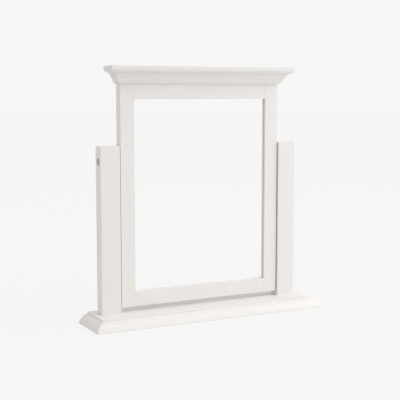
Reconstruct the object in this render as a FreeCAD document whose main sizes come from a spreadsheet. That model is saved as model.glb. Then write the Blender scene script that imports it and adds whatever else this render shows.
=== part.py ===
import FreeCAD, Part
import math
import os

import Sketcher
from FreeCAD import Placement, Rotation, Vector

# A painted swing mirror for a dressing table. A moulded base board carries two posts, and the
# mirror frame hangs between them on two pivot bolts that are held by friction.
#
# Millimetres, +Z up, the front towards -Y. The origin is the middle of the base's underside.

SIZES = (
    # base board
    ("base_overhang", 42, "base board beyond the outer face of a post"),
    ("base_depth", 132, "base board, front to back"),
    ("base_height", 27, "base board, underside to top"),
    ("base_land", 1, "upright strip under the base's ovolo"),
    ("base_ovolo", 22, "the base's ovolo, in from the edge and up"),
    ("base_round", 36, "radius of that ovolo"),
    ("base_shelf", 2, "flat strip between the ovolo and the small step above it"),
    # posts
    ("post_width", 52, "post, left to right"),
    ("post_thickness", 32.5, "post, front to back"),
    ("post_height", 421, "post, above the base board"),
    ("post_offset", 27, "middle of the posts behind the middle of the base"),
    ("post_arris", 1.5, "rounding of the posts' edges"),
    # mirror frame
    ("opening_width", 380, "clear width of glass between the stiles"),
    ("opening_height", 485, "clear height of glass between the rails"),
    ("stile_width", 38, "face of a stile"),
    ("bottom_rail_width", 39, "face of the bottom rail"),
    ("top_rail_show", 39, "face of the top rail below the cornice"),
    ("frame_thickness", 25.5, "stiles and rails, front to back"),
    ("frame_lift", 12.4, "gap between the base board and the frame"),
    ("side_gap", 3, "gap between a post and the frame"),
    ("frame_arris", 0.6, "rounding of the frame's edges"),
    ("lip", 7, "wood in front of the glass"),
    ("glass_cover", 8, "how far the rebate reaches behind the lip"),
    ("glass_play", 1, "room round the edge of the glass"),
    ("glass_thickness", 3, "mirror glass"),
    ("glass_arris", 0.5, "chamfer on the edges of the glass"),
    ("panel_ledge", 11, "ledge round the rebate that carries the back panel"),
    ("panel_play", 1, "room round the edge of the back panel"),
    ("panel_thickness", 5, "back panel"),
    ("bead_width", 9, "beads round the back panel, in from the wall of the rebate"),
    ("bead_depth", 7, "those beads, front to back"),
    ("bead_bevel", 3, "bevel on the inner edge of those beads"),
    ("tenon_thickness", 9, "tenon of a rail, front to back"),
    ("tenon_length", 22, "tenon of a rail, into the stile"),
    ("tenon_shoulder", 3, "wood left above and below a tenon"),
    ("glue_gap", 0.5, "room at the end of a tenon or dowel"),
    # cornice
    ("cornice_height", 42.5, "cap and coved moulding together"),
    ("cornice_reach", 32.8, "overhang of the cap beyond the frame"),
    ("cap_thickness", 16.4, "cap board"),
    ("cap_band", 5.4, "upright band above the cap's ovolo"),
    ("cove_reach", 21.4, "coved moulding at its top, beyond the frame"),
    ("cove_foot", 8.5, "coved moulding at the foot of its hollow"),
    ("cove_radius", 56, "radius of the hollow"),
    ("fillet_reach", 7.1, "lowest strip of the moulding, beyond the frame"),
    ("fillet_height", 4, "lowest strip of the moulding, bottom to top"),
    ("moulding_arris", 0.5, "rounding of the cap's upper edges"),
    # pivot
    ("pivot_drop", 38.5, "pivot below the top of the posts"),
    ("bolt_diameter", 6, "shank of a pivot bolt"),
    ("bolt_fit", 0.05, "radial clearance round the shank"),
    ("bolt_reach", 11, "shank inside the threaded insert"),
    ("head_diameter", 14, "head of a pivot bolt"),
    ("head_height", 3.5, "head of a pivot bolt"),
    ("head_bevel", 0.8, "bevel round the bolt's head"),
    ("socket_flats", 4, "hexagon socket across its flats"),
    ("socket_depth", 2.2, "hexagon socket"),
    ("counterbore_diameter", 20, "hole for the bolt's head in the outer face of a post"),
    ("counterbore_depth", 22, "hole for the bolt's head in the outer face of a post"),
    ("washer_diameter", 18, "steel washer under the bolt's head"),
    ("washer_thickness", 1.6, "steel washer under the bolt's head"),
    ("spacer_diameter", 16, "spacer between a post and the frame"),
    ("insert_diameter", 10, "threaded insert in a stile"),
    ("insert_length", 13, "threaded insert in a stile"),
    # hidden fixings
    ("fixing_fit", 0.05, "radial room round screws and dowels"),
    ("screw_diameter", 5, "wood screws under the posts"),
    ("screw_head", 10, "countersunk heads of those screws"),
    ("screw_length", 60, "wood screws under the posts"),
    ("screw_sink", 0.5, "heads below the base's underside"),
    ("screw_spacing", 30, "between the two screws of one post"),
    ("post_dowel_diameter", 8, "dowel under a post"),
    ("post_dowel_length", 36, "dowel under a post"),
    ("cap_dowel_diameter", 6, "dowels under the cap"),
    ("cap_dowel_length", 22, "dowels under the cap"),
    ("cap_dowel_spacing", 150, "between neighbouring dowels of the cap"),
    # cutting
    ("overcut", 1, "how far a cut starts outside the wood"),
)

# Sizes and places that follow from the driving ones.
FRAME_WIDTH = "(Sizes.opening_width + 2 * Sizes.stile_width)"
STILE_LENGTH = (
    "(Sizes.bottom_rail_width + Sizes.opening_height + Sizes.top_rail_show"
    " + Sizes.cornice_height - Sizes.cap_thickness)"
)
OPENING_TOP = "(Sizes.bottom_rail_width + Sizes.opening_height)"
MOULDING_FOOT = f"({STILE_LENGTH} - Sizes.cornice_height + Sizes.cap_thickness)"
FRONT = "(-Sizes.frame_thickness / 2)"
BACK = "(Sizes.frame_thickness / 2)"
GLASS_FRONT = f"({FRONT} + Sizes.lip)"
LEDGE = f"({GLASS_FRONT} + Sizes.glass_thickness)"
PANEL_BACK = f"({LEDGE} + Sizes.panel_thickness)"
PANEL_REBATE = "(Sizes.glass_cover + Sizes.panel_ledge)"
FRAME_FOOT = "(Sizes.base_height + Sizes.frame_lift)"
POST_MIDDLE = f"({FRAME_WIDTH} / 2 + Sizes.side_gap + Sizes.post_width / 2)"
POST_OUTSIDE = f"({FRAME_WIDTH} / 2 + Sizes.side_gap + Sizes.post_width)"
BASE_WIDTH = f"(2 * ({POST_OUTSIDE} + Sizes.base_overhang))"
PIVOT_IN_POST = "(Sizes.post_height - Sizes.pivot_drop)"
PIVOT_IN_FRAME = f"({PIVOT_IN_POST} - Sizes.frame_lift)"
PIVOT_HEIGHT = f"(Sizes.base_height + {PIVOT_IN_POST})"
BOLT_HOLE = "(Sizes.bolt_diameter + 2 * Sizes.bolt_fit)"
TENON_FROM_SIGHT = f"({PANEL_REBATE} + Sizes.tenon_shoulder)"

SIDES = {"left": -1, "right": 1}

doc = FreeCAD.newDocument("swing_mirror")
sheet = doc.addObject("Spreadsheet::Sheet", "Sizes")
sub_parts = []


def fill_sheet():
    """Write every driving dimension in the sheet, with its name as the cell's alias."""
    for row, (name, number, meaning) in enumerate(SIZES, start=1):
        sheet.set(f"A{row}", name)
        sheet.set(f"B{row}", str(number))
        sheet.set(f"C{row}", meaning)
        sheet.setAlias(f"B{row}", name)
    doc.recompute()


def value(expression):
    """Return what an expression of the sheet's sizes comes to."""
    return float(sheet.evalExpression(expression))


# ---------------------------------------------------------------- bodies and sketches


def place(thing, x="0", y="0", z="0", rotation=Rotation()):
    """Turn an object about its own origin, and tie that origin's place to the sheet."""
    thing.Placement = Placement(Vector(), rotation)
    for axis, expression in zip("xyz", (x, y, z)):
        thing.setExpression(f"Placement.Base.{axis}", expression)


def new_body(name, *where, rotation=Rotation()):
    body = doc.addObject("PartDesign::Body", name)
    place(body, *where, rotation=rotation)
    return body


def origin_plane(body, role):
    return next(item for item in body.Origin.OriginFeatures if item.Role == role)


def sketch_on(body, role, lift="0"):
    """Add a sketch on one of the body's own planes, moved by lift along the plane's normal."""
    sketch = body.newObject("Sketcher::SketchObject", f"{body.Name}_outline")
    sketch.AttachmentSupport = [(origin_plane(body, role), "")]
    sketch.MapMode = "FlatFace"
    sketch.setExpression("AttachmentOffset.Base.z", lift)
    return sketch


def pin(sketch, geometry, point, corner):
    """Fix a point of the sketch at a corner, which is two expressions."""
    for kind, expression in zip(("DistanceX", "DistanceY"), corner):
        rule = Sketcher.Constraint(kind, -1, 1, geometry, point, value(expression))
        sketch.setExpression(f"Constraints[{sketch.addConstraint(rule)}]", expression)


def arc_between(start, end, radius):
    """Return the short arc from start to end; it turns left where the radius is above zero."""
    chord = end - start
    rise = math.sqrt(radius ** 2 - (chord.Length / 2) ** 2)
    left = Vector(-chord.y, chord.x, 0).normalize()
    centre = (start + end) / 2 + left * math.copysign(rise, radius)
    first, last = (start, end) if radius > 0 else (end, start)
    angles = [math.atan2(corner.y - centre.y, corner.x - centre.x) for corner in (first, last)]
    return Part.ArcOfCircle(Part.Circle(centre, Vector(0, 0, 1), abs(radius)), *angles)


def draw_outline(sketch, corners, arcs=None):
    """Draw a closed outline. arcs gives the radius of the stretch that starts at a corner."""
    arcs = arcs or {}
    points = [Vector(*(value(expression) for expression in corner), 0) for corner in corners]
    ends = []
    for index, start in enumerate(points):
        end = points[(index + 1) % len(points)]
        if index not in arcs:
            geometry = sketch.addGeometry(Part.LineSegment(start, end))
            ends.append((geometry, 1, 2))
            continue
        radius = value(arcs[index])
        geometry = sketch.addGeometry(arc_between(start, end, radius))
        ends.append((geometry, 1, 2) if radius > 0 else (geometry, 2, 1))
        rule = Sketcher.Constraint("Radius", geometry, abs(radius))
        sketch.setExpression(f"Constraints[{sketch.addConstraint(rule)}]", f"abs({arcs[index]})")
    for index, (geometry, start, end) in enumerate(ends):
        following, its_start, its_end = ends[(index + 1) % len(ends)]
        sketch.addConstraint(Sketcher.Constraint("Coincident", geometry, end, following, its_start))
        pin(sketch, geometry, start, corners[index])


def draw_rectangle(sketch, left, bottom, right, top):
    draw_outline(sketch, [(left, bottom), (right, bottom), (right, top), (left, top)])


def draw_circle(sketch, middle, diameter):
    radius = value(diameter) / 2
    centre = Vector(*(value(expression) for expression in middle), 0)
    geometry = sketch.addGeometry(Part.Circle(centre, Vector(0, 0, 1), radius))
    pin(sketch, geometry, 3, middle)
    rule = Sketcher.Constraint("Diameter", geometry, 2 * radius)
    sketch.setExpression(f"Constraints[{sketch.addConstraint(rule)}]", diameter)


# ---------------------------------------------------------------- features


def pad(body, sketch, length, symmetric=False):
    feature = body.newObject("PartDesign::Pad", f"{body.Name}_pad")
    feature.Profile = sketch
    feature.SideType = "Symmetric" if symmetric else "One side"
    feature.setExpression("Length", length)
    return feature


def pocket(body, sketch, depth=None, backwards=False):
    """Cut the sketch out to a depth, or right through the body both ways where it has none."""
    feature = body.newObject("PartDesign::Pocket", f"{body.Name}_pocket")
    feature.Profile = sketch
    feature.Reversed = backwards
    if depth is None:
        feature.Type = "ThroughAll"
        feature.SideType = "Symmetric"
    else:
        feature.setExpression("Length", depth)
    return feature


def revolve(body, sketch, axis):
    feature = body.newObject("PartDesign::Revolution", f"{body.Name}_revolution")
    feature.Profile = sketch
    feature.ReferenceAxis = (sketch, [axis])
    feature.Angle = 360
    return feature


def mirror(body, features, role):
    """Repeat features on the other side of one of the body's own planes."""
    feature = body.newObject("PartDesign::Mirrored", f"{body.Name}_mirrored")
    feature.Originals = features
    feature.MirrorPlane = (origin_plane(body, role), [""])
    body.Tip = feature
    return feature


def edges_in_plane(shape, axis, place_on_axis):
    """Name the straight edges of a shape that lie where an axis has one value."""
    names = []
    for number, edge in enumerate(shape.Edges, start=1):
        offsets = [abs(getattr(vertex.Point, axis) - place_on_axis) for vertex in edge.Vertexes]
        if edge.Curve.TypeId == "Part::GeomLine" and max(offsets) < 1e-4:
            names.append(f"Edge{number}")
    return names


def round_off(body, radius, choose_edges):
    """Round the edges that choose_edges names on the body as it is so far."""
    doc.recompute()
    base = body.Tip
    feature = body.newObject("PartDesign::Fillet", f"{body.Name}_fillet")
    feature.Base = (base, choose_edges(base.Shape))
    feature.setExpression("Radius", radius)
    return feature


def bevel(body, size, choose_edges):
    """Chamfer the edges that choose_edges names on the body as it is so far."""
    doc.recompute()
    base = body.Tip
    feature = body.newObject("PartDesign::Chamfer", f"{body.Name}_chamfer")
    feature.Base = (base, choose_edges(base.Shape))
    feature.setExpression("Size", size)
    return feature


def keep(body):
    """List a finished sub-part for writing."""
    sub_parts.append(body)


def group(name, pattern, places):
    """Make one sub-part of several copies of a pattern piece."""
    copies = []
    for where in places:
        copy = doc.addObject("App::Link", f"{name}_copy")
        copy.LinkedObject = pattern
        place(copy, *where)
        copies.append(copy)
    compound = doc.addObject("Part::Compound", name)
    compound.Links = copies
    keep(compound)


# ---------------------------------------------------------------- stand


def mould_three_sides(body, front, left, waste, arcs):
    """Cut a moulding along the front and, mirrored, along both ends of a board.

    waste gives the outline that is cut away, for the place of the edge that it runs along.
    """
    across = sketch_on(body, "YZ_Plane")
    draw_outline(across, waste(front), arcs)
    pocket(body, across)
    along = sketch_on(body, "XZ_Plane")
    draw_outline(along, waste(left), arcs)
    mirror(body, [pocket(body, along)], "YZ_Plane")


def base_waste(edge):
    """Outline cut away beside the base: an ovolo with a small step above it."""
    outside = f"{edge} - Sizes.overcut"
    over = "Sizes.base_height + Sizes.overcut"
    crown = "Sizes.base_land + Sizes.base_ovolo"
    riser = f"{edge} + Sizes.base_ovolo + Sizes.base_shelf"
    return [
        (edge, "Sizes.base_land"),
        (f"{edge} + Sizes.base_ovolo", crown),
        (riser, crown),
        (riser, over),
        (outside, over),
        (outside, "Sizes.base_land"),
    ]


def post_screw_places():
    """Where the screws stand under the posts, as x and y in the whole mirror's frame."""
    shifts = ("- Sizes.screw_spacing / 2", "+ Sizes.screw_spacing / 2")
    return [
        (f"{side} * {POST_MIDDLE} {shift}", "Sizes.post_offset")
        for side in SIDES.values()
        for shift in shifts
    ]


def post_dowel_places():
    return [(f"{side} * {POST_MIDDLE}", "Sizes.post_offset") for side in SIDES.values()]


def hole_for(diameter):
    """Diameter of the hole that a screw or dowel sits in."""
    return f"({diameter} + 2 * Sizes.fixing_fit)"


POST_DOWEL_HOLE_DEPTH = "(Sizes.post_dowel_length / 2 + Sizes.glue_gap)"
SCREW_IN_POST = "(Sizes.screw_length + Sizes.screw_sink - Sizes.base_height + Sizes.glue_gap)"


def make_base_board():
    board = new_body("base_board")
    plan = sketch_on(board, "XY_Plane")
    draw_rectangle(plan, f"-{BASE_WIDTH} / 2", "-Sizes.base_depth / 2",
                   f"{BASE_WIDTH} / 2", "Sizes.base_depth / 2")
    pad(board, plan, "Sizes.base_height")
    mould_three_sides(board, "-Sizes.base_depth / 2", f"-{BASE_WIDTH} / 2", base_waste,
                      {0: "-Sizes.base_round"})
    dowels = sketch_on(board, "XY_Plane", "Sizes.base_height")
    for middle in post_dowel_places():
        draw_circle(dowels, middle, hole_for("Sizes.post_dowel_diameter"))
    pocket(board, dowels, POST_DOWEL_HOLE_DEPTH)
    shanks = sketch_on(board, "XY_Plane")
    for middle in post_screw_places():
        draw_circle(shanks, middle, hole_for("Sizes.screw_diameter"))
    doc.recompute()
    hole = board.newObject("PartDesign::Hole", "base_board_countersunk")
    hole.Profile = shanks
    doc.recompute()
    hole.Reversed = True
    hole.DepthType = "ThroughAll"
    hole.setExpression("Diameter", hole_for("Sizes.screw_diameter"))
    hole.HoleCutType = "Countersink"
    hole.HoleCutCustomValues = True
    hole.HoleCutCountersinkAngle = 90
    hole.setExpression("HoleCutDiameter", f"{hole_for('Sizes.screw_head')} + 2 * Sizes.screw_sink")
    keep(board)


def make_post(side, turn):
    """A post whose pivot hole is counterbored from -X; the right post is turned half round."""
    post = new_body(f"{side}_post", f"{SIDES[side]} * {POST_MIDDLE}", "Sizes.post_offset",
                    "Sizes.base_height", rotation=turn)
    section = sketch_on(post, "XY_Plane")
    draw_rectangle(section, "-Sizes.post_width / 2", "-Sizes.post_thickness / 2",
                   "Sizes.post_width / 2", "Sizes.post_thickness / 2")
    pad(post, section, "Sizes.post_height")
    pivot = sketch_on(post, "YZ_Plane", "-Sizes.post_width / 2")
    draw_circle(pivot, ("0", PIVOT_IN_POST), "Sizes.counterbore_diameter")
    pocket(post, pivot, "Sizes.counterbore_depth", backwards=True)
    shank = sketch_on(post, "YZ_Plane")
    draw_circle(shank, ("0", PIVOT_IN_POST), BOLT_HOLE)
    pocket(post, shank)
    dowel = sketch_on(post, "XY_Plane")
    draw_circle(dowel, ("0", "0"), hole_for("Sizes.post_dowel_diameter"))
    pocket(post, dowel, POST_DOWEL_HOLE_DEPTH, backwards=True)
    screws = sketch_on(post, "XY_Plane")
    for shift in ("-Sizes.screw_spacing / 2", "Sizes.screw_spacing / 2"):
        draw_circle(screws, (shift, "0"), hole_for("Sizes.screw_diameter"))
    pocket(post, screws, SCREW_IN_POST, backwards=True)
    round_off(post, "Sizes.post_arris", post_arrises)
    keep(post)


def post_arrises(shape):
    """The four upright edges of a post and the four round its top."""
    faces = ((axis, sign * value(size) / 2)
             for axis, size in (("x", "Sizes.post_width"), ("y", "Sizes.post_thickness"))
             for sign in (-1, 1))
    beside = [set(edges_in_plane(shape, axis, at)) for axis, at in faces]
    uprights = (beside[0] | beside[1]) & (beside[2] | beside[3])
    return sorted(uprights | set(edges_in_plane(shape, "z", value("Sizes.post_height"))))


# ---------------------------------------------------------------- mirror frame

FRAME_PLACE = ("0", "Sizes.post_offset", FRAME_FOOT)


def ease_front(body):
    """Ease the edges of the front face of a frame piece."""
    round_off(body, "Sizes.frame_arris", lambda shape: edges_in_plane(shape, "y", value(FRONT)))


def tenon_height(rail):
    """Lowest and highest corner of a rail's tenon, between its shoulders."""
    if rail == "bottom":
        return "Sizes.tenon_shoulder", f"Sizes.bottom_rail_width - {TENON_FROM_SIGHT}"
    return f"{OPENING_TOP} + {TENON_FROM_SIGHT}", f"{STILE_LENGTH} - Sizes.tenon_shoulder"


def rebate(body, left, right, reach, depth_plane):
    """Cut a rebate from the back to a depth plane; it reaches past the opening up and down."""
    recess = sketch_on(body, "XZ_Plane", f"-{BACK}")
    draw_rectangle(recess, left, f"Sizes.bottom_rail_width - {reach}",
                   right, f"{OPENING_TOP} + {reach}")
    pocket(body, recess, f"{BACK} - {depth_plane}", backwards=True)


def make_stile(side):
    sign = SIDES[side]
    sight = f"({sign} * Sizes.opening_width / 2)"
    outside = f"({sign} * {FRAME_WIDTH} / 2)"
    stile = new_body(f"{side}_stile", *FRAME_PLACE)
    section = sketch_on(stile, "XY_Plane")
    draw_rectangle(section, sight, FRONT, outside, BACK)
    pad(stile, section, STILE_LENGTH)
    inside_sight = f"{sight} - {sign} * Sizes.overcut"
    for reach, plane in (("Sizes.glass_cover", GLASS_FRONT), (PANEL_REBATE, LEDGE)):
        rebate(stile, inside_sight, f"{sight} + {sign} * {reach}", reach, plane)
    mortises = sketch_on(stile, "YZ_Plane", sight)
    for rail in ("bottom", "top"):
        low, high = tenon_height(rail)
        draw_rectangle(mortises, "-Sizes.tenon_thickness / 2", low, "Sizes.tenon_thickness / 2", high)
    pocket(stile, mortises, "Sizes.tenon_length + Sizes.glue_gap", backwards=sign > 0)
    insert = sketch_on(stile, "YZ_Plane", outside)
    draw_circle(insert, ("0", PIVOT_IN_FRAME), hole_for("Sizes.insert_diameter"))
    pocket(stile, insert, "Sizes.insert_length", backwards=sign < 0)
    ease_front(stile)
    keep(stile)


def make_rail(name, bottom, top):
    """A rail between the stiles, with a through rebate and a tenon at each end."""
    rail = new_body(f"{name}_rail", *FRAME_PLACE)
    face = sketch_on(rail, "XZ_Plane")
    draw_rectangle(face, "-Sizes.opening_width / 2", bottom, "Sizes.opening_width / 2", top)
    pad(rail, face, "Sizes.frame_thickness", symmetric=True)
    beyond = "(Sizes.opening_width / 2 + Sizes.overcut)"
    for reach, plane in (("Sizes.glass_cover", GLASS_FRONT), (PANEL_REBATE, LEDGE)):
        rebate(rail, f"-{beyond}", beyond, reach, plane)
    low, high = tenon_height(name)
    end = sketch_on(rail, "YZ_Plane", "Sizes.opening_width / 2")
    draw_rectangle(end, "-Sizes.tenon_thickness / 2", low, "Sizes.tenon_thickness / 2", high)
    mirror(rail, [pad(rail, end, "Sizes.tenon_length")], "YZ_Plane")
    if name == "top":
        sockets = sketch_on(rail, "XY_Plane", STILE_LENGTH)
        for middle in cap_dowel_places():
            draw_circle(sockets, middle, hole_for("Sizes.cap_dowel_diameter"))
        pocket(rail, sockets, "Sizes.cap_dowel_length / 2 + Sizes.glue_gap")
    ease_front(rail)
    keep(rail)


def round_opening(reach):
    """Corners of a rectangle that lies outside the opening by reach, from the left foot on."""
    half = f"(Sizes.opening_width / 2 + {reach})"
    low = f"(Sizes.bottom_rail_width - {reach})"
    high = f"({OPENING_TOP} + {reach})"
    return [(f"-{half}", low), (half, low), (half, high), (f"-{half}", high)]


def make_sheet(name, reach, back, thickness):
    """A flat sheet behind the opening, larger than the opening by reach all round."""
    sheet_body = new_body(name, *FRAME_PLACE)
    face = sketch_on(sheet_body, "XZ_Plane", f"-{back}")
    draw_outline(face, round_opening(reach))
    pad(sheet_body, face, thickness)
    keep(sheet_body)
    return sheet_body


def make_glass():
    glass = make_sheet("mirror_glass", "(Sizes.glass_cover - Sizes.glass_play)", LEDGE,
                       "Sizes.glass_thickness")
    bevel(glass, "Sizes.glass_arris", lambda shape: edges_in_plane(shape, "y", value(GLASS_FRONT)))


def make_back_panel():
    make_sheet("back_panel", f"({PANEL_REBATE} - Sizes.panel_play)", PANEL_BACK,
               "Sizes.panel_thickness")


def make_back_beads():
    """Four beads, mitred at the corners, hold the back panel in its rebate."""
    inner_reach = f"({PANEL_REBATE} - Sizes.bead_width)"
    outer = round_opening(PANEL_REBATE)
    inner = round_opening(inner_reach)
    back = f"({PANEL_BACK} + Sizes.bead_depth)"
    for index, (name, axis) in enumerate(zip(("bottom", "right", "top", "left"), "zxzx")):
        following = (index + 1) % 4
        bead = new_body(f"{name}_back_bead", *FRAME_PLACE)
        face = sketch_on(bead, "XZ_Plane", f"-{back}")
        draw_outline(face, [outer[index], outer[following], inner[following], inner[index]])
        pad(bead, face, "Sizes.bead_depth")
        inner_edge = value(inner[index]["xz".index(axis)])
        bevel(bead, "Sizes.bead_bevel", lambda shape: sorted(
            set(edges_in_plane(shape, "y", value(back)))
            & set(edges_in_plane(shape, axis, inner_edge))))
        keep(bead)


# ---------------------------------------------------------------- cornice


def cap_dowel_places():
    return [(f"{step} * Sizes.cap_dowel_spacing", "0") for step in (-1, 0, 1)]


def cap_waste(edge):
    """Outline cut away under the cap's edge, which leaves a band above an ovolo."""
    ovolo = "(Sizes.cap_thickness - Sizes.cap_band)"
    outside = f"{edge} - Sizes.overcut"
    return [
        (edge, f"{STILE_LENGTH} + {ovolo}"),
        (outside, f"{STILE_LENGTH} + {ovolo}"),
        (outside, f"{STILE_LENGTH} - Sizes.overcut"),
        (f"{edge} + {ovolo}", f"{STILE_LENGTH} - Sizes.overcut"),
        (f"{edge} + {ovolo}", STILE_LENGTH),
    ]


def make_top_cap():
    cap = new_body("top_cap", *FRAME_PLACE)
    half = f"({FRAME_WIDTH} / 2 + Sizes.cornice_reach)"
    nose = f"({FRONT} - Sizes.cornice_reach)"
    plan = sketch_on(cap, "XY_Plane", STILE_LENGTH)
    draw_rectangle(plan, f"-{half}", nose, half, BACK)
    pad(cap, plan, "Sizes.cap_thickness")
    mould_three_sides(cap, nose, f"-{half}", cap_waste, {4: "-(Sizes.cap_thickness - Sizes.cap_band)"})
    sockets = sketch_on(cap, "XY_Plane", STILE_LENGTH)
    for middle in cap_dowel_places():
        draw_circle(sockets, middle, hole_for("Sizes.cap_dowel_diameter"))
    pocket(cap, sockets, "Sizes.cap_dowel_length / 2 + Sizes.glue_gap", backwards=True)
    top = f"{STILE_LENGTH} + Sizes.cap_thickness"
    round_off(cap, "Sizes.moulding_arris", lambda shape: edges_in_plane(shape, "z", value(top)))
    keep(cap)


def draw_cove(sketch, face, outward):
    """Draw the section of the moulding that stands outward, +1 or -1, from a face of the frame."""
    height = "(Sizes.cornice_height - Sizes.cap_thickness)"
    steps = [
        ("0", height),
        ("Sizes.cove_reach", height),
        ("Sizes.cove_foot", "Sizes.fillet_height"),
        ("Sizes.fillet_reach", "Sizes.fillet_height"),
        ("Sizes.fillet_reach", "0"),
        ("0", "0"),
    ]
    corners = [(f"{face} + {outward} * {reach}", f"{MOULDING_FOOT} + {rise}") for reach, rise in steps]
    draw_outline(sketch, corners, {1: f"{outward} * Sizes.cove_radius"})


def mitre(body, side, keep_front):
    """Cut the 45 degree mitre at one front corner of the frame.

    The cut takes the wood behind the mitre line, or in front of it where the front isn't kept.
    """
    sign = SIDES[side]
    near_x = f"{sign} * ({FRAME_WIDTH} / 2 - Sizes.overcut)"
    far_x = f"{sign} * ({FRAME_WIDTH} / 2 + Sizes.cove_reach + Sizes.overcut)"
    near_y = f"{FRONT} + Sizes.overcut"
    far_y = f"{FRONT} - Sizes.cove_reach - Sizes.overcut"
    third = (far_x, near_y) if keep_front else (near_x, far_y)
    plan = sketch_on(body, "XY_Plane")
    draw_outline(plan, [(near_x, near_y), (far_x, far_y), third])
    return pocket(body, plan)


def make_cornice_front():
    front = new_body("cornice_front", *FRAME_PLACE)
    section = sketch_on(front, "YZ_Plane")
    draw_cove(section, FRONT, -1)
    pad(front, section, f"{FRAME_WIDTH} + 2 * Sizes.cove_reach", symmetric=True)
    mirror(front, [mitre(front, "left", keep_front=True)], "YZ_Plane")
    keep(front)


def make_cornice_return(side):
    sign = SIDES[side]
    moulding = new_body(f"cornice_{side}_return", *FRAME_PLACE)
    section = sketch_on(moulding, "XZ_Plane", f"-{BACK}")
    draw_cove(section, f"{sign} * {FRAME_WIDTH} / 2", sign)
    pad(moulding, section, "Sizes.frame_thickness + Sizes.cove_reach")
    mitre(moulding, side, keep_front=False)
    keep(moulding)


# ---------------------------------------------------------------- pivot
#
# Each piece is drawn for the left side: x runs inwards from the outer face of the post along
# the pivot. The right side's piece is the same, turned half round.


def pivot_body(side, name, turn):
    return new_body(f"{side}_{name}", f"{SIDES[side]} * {POST_OUTSIDE}", "Sizes.post_offset",
                    PIVOT_HEIGHT, rotation=turn)


def ring(body, start, outside, hole, length):
    """A flat ring round the pivot."""
    section = sketch_on(body, "YZ_Plane", start)
    draw_circle(section, ("0", "0"), outside)
    draw_circle(section, ("0", "0"), hole)
    pad(body, section, length)
    keep(body)


def make_pivot_bolt(side, turn):
    bolt = pivot_body(side, "pivot_bolt", turn)
    under_head = "(Sizes.counterbore_depth - Sizes.washer_thickness)"
    top = f"({under_head} - Sizes.head_height)"
    tip = "(Sizes.post_width + Sizes.side_gap + Sizes.bolt_reach)"
    section = sketch_on(bolt, "XZ_Plane")
    draw_outline(section, [
        (top, "0"),
        (top, "Sizes.head_diameter / 2 - Sizes.head_bevel"),
        (f"{top} + Sizes.head_bevel", "Sizes.head_diameter / 2"),
        (under_head, "Sizes.head_diameter / 2"),
        (under_head, "Sizes.bolt_diameter / 2"),
        (tip, "Sizes.bolt_diameter / 2"),
        (tip, "0"),
    ])
    revolve(bolt, section, "H_Axis")
    corner = "Sizes.socket_flats / sqrt(3)"
    socket = sketch_on(bolt, "YZ_Plane", top)
    draw_outline(socket, [(f"{corner} * cos({60 * step})", f"{corner} * sin({60 * step})")
                          for step in range(6)])
    pocket(bolt, socket, "Sizes.socket_depth", backwards=True)
    keep(bolt)


def make_pivot(side, turn):
    make_pivot_bolt(side, turn)
    ring(pivot_body(side, "head_washer", turn), "Sizes.counterbore_depth - Sizes.washer_thickness",
         "Sizes.washer_diameter", BOLT_HOLE, "Sizes.washer_thickness")
    ring(pivot_body(side, "spacer", turn), "Sizes.post_width", "Sizes.spacer_diameter", BOLT_HOLE,
         "Sizes.side_gap")
    ring(pivot_body(side, "insert", turn), "Sizes.post_width + Sizes.side_gap",
         "Sizes.insert_diameter", BOLT_HOLE, "Sizes.insert_length")


# ---------------------------------------------------------------- screws and dowels


def make_post_screws():
    screw = new_body("post_screw_pattern")
    section = sketch_on(screw, "XZ_Plane")
    draw_outline(section, [
        ("0", "0"),
        ("Sizes.screw_head / 2", "0"),
        ("Sizes.screw_diameter / 2", "(Sizes.screw_head - Sizes.screw_diameter) / 2"),
        ("Sizes.screw_diameter / 2", "Sizes.screw_length"),
        ("0", "Sizes.screw_length"),
    ])
    revolve(screw, section, "V_Axis")
    group("post_screws", screw, [(*middle, "Sizes.screw_sink") for middle in post_screw_places()])


def make_dowels(name, diameter, length, places):
    """Upright dowels; a place is the middle of a dowel."""
    dowel = new_body(f"{name}_pattern")
    section = sketch_on(dowel, "XY_Plane")
    draw_circle(section, ("0", "0"), diameter)
    pad(dowel, section, length, symmetric=True)
    group(name, dowel, places)


def make_post_dowels():
    make_dowels("post_dowels", "Sizes.post_dowel_diameter", "Sizes.post_dowel_length",
                [(*middle, "Sizes.base_height") for middle in post_dowel_places()])


def make_cap_dowels():
    make_dowels("cap_dowels", "Sizes.cap_dowel_diameter", "Sizes.cap_dowel_length",
                [(x, "Sizes.post_offset", f"{FRAME_FOOT} + {STILE_LENGTH}")
                 for x, _ in cap_dowel_places()])


# ---------------------------------------------------------------- checks and writing


def check_and_write():
    """Stop on anything that failed, then write each sub-part to its own file."""
    doc.recompute()
    for item in doc.Objects:
        if {"Invalid", "Error"} & set(item.State):
            raise RuntimeError(f"{item.Name} failed: {item.State}")
        if item.TypeId in ("PartDesign::Pocket", "PartDesign::Hole"):
            if item.Shape.Volume >= item.BaseFeature.Shape.Volume:
                raise RuntimeError(f"{item.Name} cuts nothing")
    os.makedirs("parts", exist_ok=True)
    for item in sub_parts:
        if item.Shape.isNull() or not item.Shape.isValid() or not item.Shape.Solids:
            raise RuntimeError(f"{item.Label} has no valid solid")
        item.Shape.exportStep(f"parts/{item.Label}.step")


fill_sheet()
make_base_board()
for side_name, half_turn in (("left", Rotation()), ("right", Rotation(Vector(0, 0, 1), 180))):
    make_post(side_name, half_turn)
    make_stile(side_name)
    make_cornice_return(side_name)
    make_pivot(side_name, half_turn)
make_rail("bottom", "0", "Sizes.bottom_rail_width")
make_rail("top", OPENING_TOP, STILE_LENGTH)
make_top_cap()
make_cornice_front()
make_glass()
make_back_panel()
make_back_beads()
make_post_screws()
make_post_dowels()
make_cap_dowels()
check_and_write()
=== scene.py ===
import math

import bmesh
import bpy
from bpy.props import FloatProperty, FloatVectorProperty, IntProperty, PointerProperty
from mathutils import Matrix, Vector


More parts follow.
